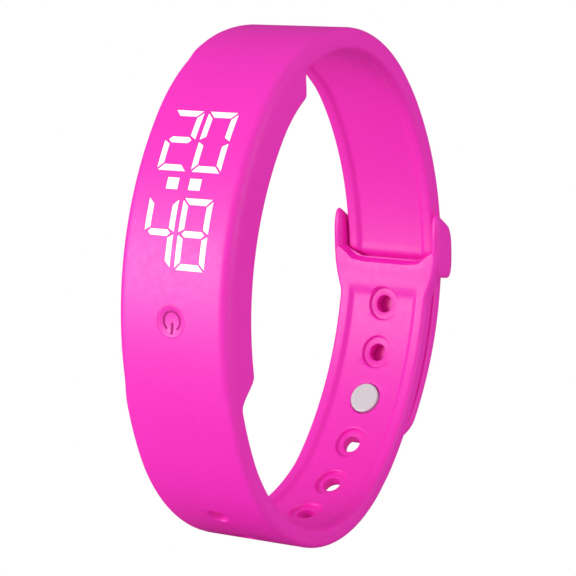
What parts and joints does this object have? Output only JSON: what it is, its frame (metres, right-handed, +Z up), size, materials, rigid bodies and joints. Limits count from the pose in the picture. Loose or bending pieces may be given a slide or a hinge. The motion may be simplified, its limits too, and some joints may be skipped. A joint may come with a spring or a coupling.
{
  "type": "fitness tracker band",
  "caption": "Closed silicone wrist band with a hidden light display pod, a flush power key, a keeper loop and a stud-in-hole clasp.",
  "frame": {"origin": "middle of the wrist opening, on the wrist's axis, midway across the band", "axes": "+X across the band along the wrist, -Y out through the display, +Y out through the clasp, +Z up towards the top of the closed band"},
  "size_m": [0.0176, 0.0573, 0.0687],
  "materials": {
    "silicone": "satin",
    "key_silicone": "satin",
    "stud_metal": "satin",
    "display_white": "diffusing",
    "case_plastic": "matte",
    "cover_plastic": "matte",
    "seal_rubber": "matte",
    "mask_plastic": "matte",
    "led_lens": "glossy",
    "board_green": "solder mask",
    "battery_foil": "satin",
    "adhesive": "matte",
    "contact_gold": "polished",
    "chip_black": "matte",
    "bright_metal": "satin",
    "plunger_white": "glossy",
    "weight_metal": "matte"
  },
  "bodies": {
    "band": {"display_sleeve": "silicone", "strap_upper": "silicone", "strap_lower": "silicone", "keeper_loop": "silicone", "digit_segments": "display_white"},
    "tail": {"strap_tail": "silicone", "clasp_stud": "stud_metal", "stud_base": "stud_metal"},
    "key": {"power_key": "key_silicone"},
    "pod": {"pod_case": "case_plastic", "pod_cover": "cover_plastic", "cover_seal": "seal_rubber", "light_mask": "mask_plastic", "led_chips": "led_lens", "display_board": "board_green", "battery": "battery_foil", "battery_pad": "adhesive", "battery_tabs": "contact_gold", "main_board": "board_green", "control_chip": "chip_black", "motion_sensor": "chip_black", "tact_switch": "bright_metal", "motor_can": "bright_metal", "motor_shaft": "bright_metal", "charging_contacts": "contact_gold", "cover_screws": "bright_metal", "switch_plunger": "plunger_white"},
    "weight": {"motor_weight": "weight_metal"}
  },
  "joints": [
    {"name": "tail_peel", "type": "hinge", "parent": "band", "child": "tail", "pos_m": [0, 0.02824, 0.00136], "axis": [1, 0, 0], "range_deg": [0, 13], "stiffness_Nm_per_rad": 0.01, "deforming": ["strap_lower"]},
    {"name": "key_press", "type": "slide", "parent": "band", "child": "key", "axis": [0, 0.9952, 0.0976], "range_m": [0, 0.0003], "stiffness_N_per_m": 2000},
    {"name": "pod_pull", "type": "slide", "parent": "band", "child": "pod", "axis": [0, 0.9563, -0.2924], "range_m": [0, 0.01]},
    {"name": "motor_spin", "type": "hinge", "parent": "pod", "child": "weight", "pos_m": [0, -0.01941, 0.01821], "axis": [0, 0.8926, -0.4509], "continuous": true}
  ]
}
